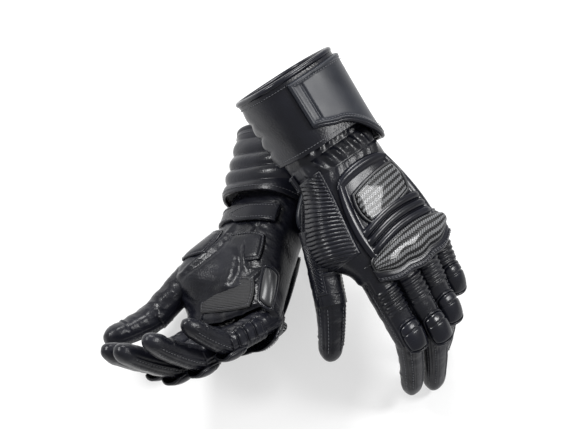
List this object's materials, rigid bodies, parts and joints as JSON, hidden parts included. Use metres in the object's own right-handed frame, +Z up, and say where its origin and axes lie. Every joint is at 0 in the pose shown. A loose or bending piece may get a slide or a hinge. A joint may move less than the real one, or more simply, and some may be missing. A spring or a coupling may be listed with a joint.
{
  "type": "riding gloves",
  "caption": "Pair of long-cuff leather riding gloves with hard knuckle guards, hinged finger stalls, wrist straps and cuff flaps.",
  "frame": {"origin": "bottom centre of the pair's box, on the table under the two gloves", "axes": "+Z up from the table; +Y towards the cuffs; +X towards the left glove's side"},
  "size_m": [0.2896, 0.2598, 0.1849],
  "materials": {
    "leather": "semi-gloss grained goat leather",
    "smooth_overlay": "smooth coated leather",
    "binding": "rolled binding tape",
    "grip_panel": "fine textured grip",
    "moulded_armour": "satin moulded plastic",
    "carbon_weave": "clear-coated woven fibre"
  },
  "bodies": {
    "hands": {"left_gathered_wrist": "leather", "left_back_shell": "leather", "left_palm_shell": "leather", "left_back_panel": "leather", "left_stretch_bellows": "leather", "left_knuckle_guard": "carbon_weave", "left_side_rib_panel": "leather", "left_edge_slider": "moulded_armour", "left_palm_heel_panel": "grip_panel", "left_palm_grip_patch": "grip_panel", "left_thumb_ball_patch": "leather", "left_metacarpal_plate": "carbon_weave", "right_gathered_wrist": "leather", "right_back_shell": "leather", "right_palm_shell": "leather", "right_back_panel": "leather", "right_stretch_bellows": "leather", "right_knuckle_guard": "carbon_weave", "right_side_rib_panel": "leather", "right_edge_slider": "moulded_armour", "right_palm_heel_panel": "grip_panel", "right_palm_grip_patch": "grip_panel", "right_thumb_ball_patch": "leather", "right_metacarpal_plate": "carbon_weave"},
    "left_cuff": {"left_cuff_shell": "leather", "left_cuff_binding": "binding"},
    "left_flap": {"left_closure_flap": "smooth_overlay"},
    "left_strap": {"left_wrist_strap": "leather"},
    "left_index_base": {"left_index_base_stall": "leather", "left_index_knuckle_pad": "moulded_armour"},
    "left_index_tip": {"left_index_tip_stall": "leather"},
    "left_middle_base": {"left_middle_base_stall": "leather", "left_middle_knuckle_pad": "moulded_armour"},
    "left_middle_tip": {"left_middle_tip_stall": "leather"},
    "left_ring_base": {"left_ring_base_stall": "leather", "left_ring_knuckle_pad": "moulded_armour"},
    "left_ring_tip": {"left_ring_tip_stall": "leather"},
    "left_little_base": {"left_little_base_stall": "leather", "left_little_knuckle_pad": "moulded_armour"},
    "left_little_tip": {"left_little_tip_stall": "leather"},
    "left_thumb_base": {"left_thumb_base_stall": "leather"},
    "left_thumb_tip": {"left_thumb_tip_stall": "leather"},
    "right_cuff": {"right_cuff_shell": "leather", "right_cuff_binding": "binding"},
    "right_flap": {"right_closure_flap": "smooth_overlay"},
    "right_strap": {"right_wrist_strap": "leather"},
    "right_index_base": {"right_index_base_stall": "leather", "right_index_knuckle_pad": "moulded_armour"},
    "right_index_tip": {"right_index_tip_stall": "leather"},
    "right_middle_base": {"right_middle_base_stall": "leather", "right_middle_knuckle_pad": "moulded_armour"},
    "right_middle_tip": {"right_middle_tip_stall": "leather"},
    "right_ring_base": {"right_ring_base_stall": "leather", "right_ring_knuckle_pad": "moulded_armour"},
    "right_ring_tip": {"right_ring_tip_stall": "leather"},
    "right_little_base": {"right_little_base_stall": "leather", "right_little_knuckle_pad": "moulded_armour"},
    "right_little_tip": {"right_little_tip_stall": "leather"},
    "right_thumb_base": {"right_thumb_base_stall": "leather"},
    "right_thumb_tip": {"right_thumb_tip_stall": "leather"}
  },
  "joints": [
    {"name": "left_wrist_bend", "type": "hinge", "parent": "hands", "child": "left_cuff", "pos_m": [0.03988, 0.04351, 0.11787], "axis": [-0.7098, -0.6444, 0.2845], "range_deg": [-6, 10]},
    {"name": "left_cuff_flap_open", "type": "hinge", "parent": "left_cuff", "child": "left_flap", "pos_m": [0.03164, 0.03506, 0.16146], "axis": [0.528, -0.754, -0.3907], "range_deg": [0, 60]},
    {"name": "left_strap_open", "type": "hinge", "parent": "hands", "child": "left_strap", "pos_m": [0.01085, 0.01681, 0.12367], "axis": [-0.5738, 0.7632, 0.2971], "range_deg": [0, 15]},
    {"name": "left_index_base_bend", "type": "hinge", "parent": "hands", "child": "left_index_base", "pos_m": [0.07453, -0.0556, 0.0988], "axis": [0.6976, 0.6603, -0.2782], "range_deg": [-13, 55]},
    {"name": "left_index_tip_bend", "type": "hinge", "parent": "left_index_base", "child": "left_index_tip", "pos_m": [0.10053, -0.09446, 0.07179], "axis": [0.6976, 0.6603, -0.2782], "range_deg": [-10.3, 43.1]},
    {"name": "left_middle_base_bend", "type": "hinge", "parent": "hands", "child": "left_middle_base", "pos_m": [0.09352, -0.04254, 0.09247], "axis": [0.7098, 0.6444, -0.2845], "range_deg": [-13, 55]},
    {"name": "left_middle_tip_bend", "type": "hinge", "parent": "left_middle_base", "child": "left_middle_tip", "pos_m": [0.12062, -0.08504, 0.06379], "axis": [0.7098, 0.6444, -0.2845], "range_deg": [-10.3, 43.1]},
    {"name": "left_ring_base_bend", "type": "hinge", "parent": "hands", "child": "left_ring_base", "pos_m": [0.10852, -0.02536, 0.08654], "axis": [0.7217, 0.6283, -0.2906], "range_deg": [-18, 50]},
    {"name": "left_ring_tip_bend", "type": "hinge", "parent": "left_ring_base", "child": "left_ring_tip", "pos_m": [0.1304, -0.06445, 0.05638], "axis": [0.7217, 0.6283, -0.2906], "range_deg": [-14.2, 39.2]},
    {"name": "left_little_base_bend", "type": "hinge", "parent": "hands", "child": "left_little_base", "pos_m": [0.11918, -0.00544, 0.08128], "axis": [0.7332, 0.6119, -0.2966], "range_deg": [-22, 46]},
    {"name": "left_little_tip_bend", "type": "hinge", "parent": "left_little_base", "child": "left_little_tip", "pos_m": [0.13497, -0.03758, 0.05403], "axis": [0.7332, 0.6119, -0.2966], "range_deg": [-17.4, 36.1]},
    {"name": "left_thumb_base_bend", "type": "hinge", "parent": "hands", "child": "left_thumb_base", "pos_m": [0.02763, -0.02338, 0.1045], "axis": [0.8647, 0.3399, -0.3698], "range_deg": [-12, 22]},
    {"name": "left_thumb_tip_bend", "type": "hinge", "parent": "left_thumb_base", "child": "left_thumb_tip", "pos_m": [0.03786, -0.06892, 0.08658], "axis": [0.8647, 0.3399, -0.3698], "range_deg": [-15.2, 27.7]},
    {"name": "right_wrist_bend", "type": "hinge", "parent": "hands", "child": "right_cuff", "pos_m": [-0.01413, 0.01351, 0.04525], "axis": [0.7239, -0.1685, 0.669], "range_deg": [-16, 4]},
    {"name": "right_cuff_flap_open", "type": "hinge", "parent": "right_cuff", "child": "right_flap", "pos_m": [-0.00478, 0.02588, 0.00283], "axis": [0.2419, 0.9701, -0.0175], "range_deg": [0, 30]},
    {"name": "right_strap_open", "type": "hinge", "parent": "hands", "child": "right_strap", "pos_m": [-0.04658, 0.01963, 0.02293], "axis": [-0.2973, -0.9513, 0.0821], "range_deg": [0, 30]},
    {"name": "right_index_base_bend", "type": "hinge", "parent": "hands", "child": "right_index_base", "pos_m": [-0.06778, -0.07743, 0.02981], "axis": [-0.73, 0.1485, -0.6672], "range_deg": [-38, 30]},
    {"name": "right_index_tip_bend", "type": "hinge", "parent": "right_index_base", "child": "right_index_tip", "pos_m": [-0.10048, -0.10946, 0.05846], "axis": [-0.73, 0.1485, -0.6672], "range_deg": [-29.8, 23.6]},
    {"name": "right_middle_base_bend", "type": "hinge", "parent": "hands", "child": "right_middle_base", "pos_m": [-0.05061, -0.08445, 0.04488], "axis": [-0.7239, 0.1685, -0.669], "range_deg": [-38, 30]},
    {"name": "right_middle_tip_bend", "type": "hinge", "parent": "right_middle_base", "child": "right_middle_tip", "pos_m": [-0.08642, -0.1187, 0.07502], "axis": [-0.7239, 0.1685, -0.669], "range_deg": [-29.8, 23.6]},
    {"name": "right_ring_base_bend", "type": "hinge", "parent": "hands", "child": "right_ring_base", "pos_m": [-0.03291, -0.08576, 0.06039], "axis": [-0.7175, 0.1883, -0.6706], "range_deg": [-38, 30]},
    {"name": "right_ring_tip_bend", "type": "hinge", "parent": "right_ring_base", "child": "right_ring_tip", "pos_m": [-0.0669, -0.11749, 0.08784], "axis": [-0.7175, 0.1883, -0.6706], "range_deg": [-29.8, 23.6]},
    {"name": "right_little_base_bend", "type": "hinge", "parent": "hands", "child": "right_little_base", "pos_m": [-0.01569, -0.08193, 0.07544], "axis": [-0.7108, 0.2081, -0.6719], "range_deg": [-38, 30]},
    {"name": "right_little_tip_bend", "type": "hinge", "parent": "right_little_base", "child": "right_little_tip", "pos_m": [-0.04454, -0.10823, 0.09783], "axis": [-0.7108, 0.2081, -0.6719], "range_deg": [-29.8, 23.6]},
    {"name": "right_thumb_base_bend", "type": "hinge", "parent": "hands", "child": "right_thumb_base", "pos_m": [-0.07186, -0.02044, 0.02742], "axis": [-0.576, 0.4878, -0.656], "range_deg": [-12, 22]},
    {"name": "right_thumb_tip_bend", "type": "hinge", "parent": "right_thumb_base", "child": "right_thumb_tip", "pos_m": [-0.10403, -0.05872, 0.02721], "axis": [-0.576, 0.4878, -0.656], "range_deg": [-15.2, 27.7]}
  ],
  "couplings": [
    {"joint": "left_index_tip_bend", "follows": "left_index_base_bend", "ratio": 0.78},
    {"joint": "left_middle_tip_bend", "follows": "left_middle_base_bend", "ratio": 0.78},
    {"joint": "left_ring_tip_bend", "follows": "left_ring_base_bend", "ratio": 0.78},
    {"joint": "left_little_tip_bend", "follows": "left_little_base_bend", "ratio": 0.78},
    {"joint": "left_thumb_tip_bend", "follows": "left_thumb_base_bend", "ratio": 1.25},
    {"joint": "right_index_tip_bend", "follows": "right_index_base_bend", "ratio": 0.78},
    {"joint": "right_middle_tip_bend", "follows": "right_middle_base_bend", "ratio": 0.78},
    {"joint": "right_ring_tip_bend", "follows": "right_ring_base_bend", "ratio": 0.78},
    {"joint": "right_little_tip_bend", "follows": "right_little_base_bend", "ratio": 0.78},
    {"joint": "right_thumb_tip_bend", "follows": "right_thumb_base_bend", "ratio": 1.25}
  ]
}
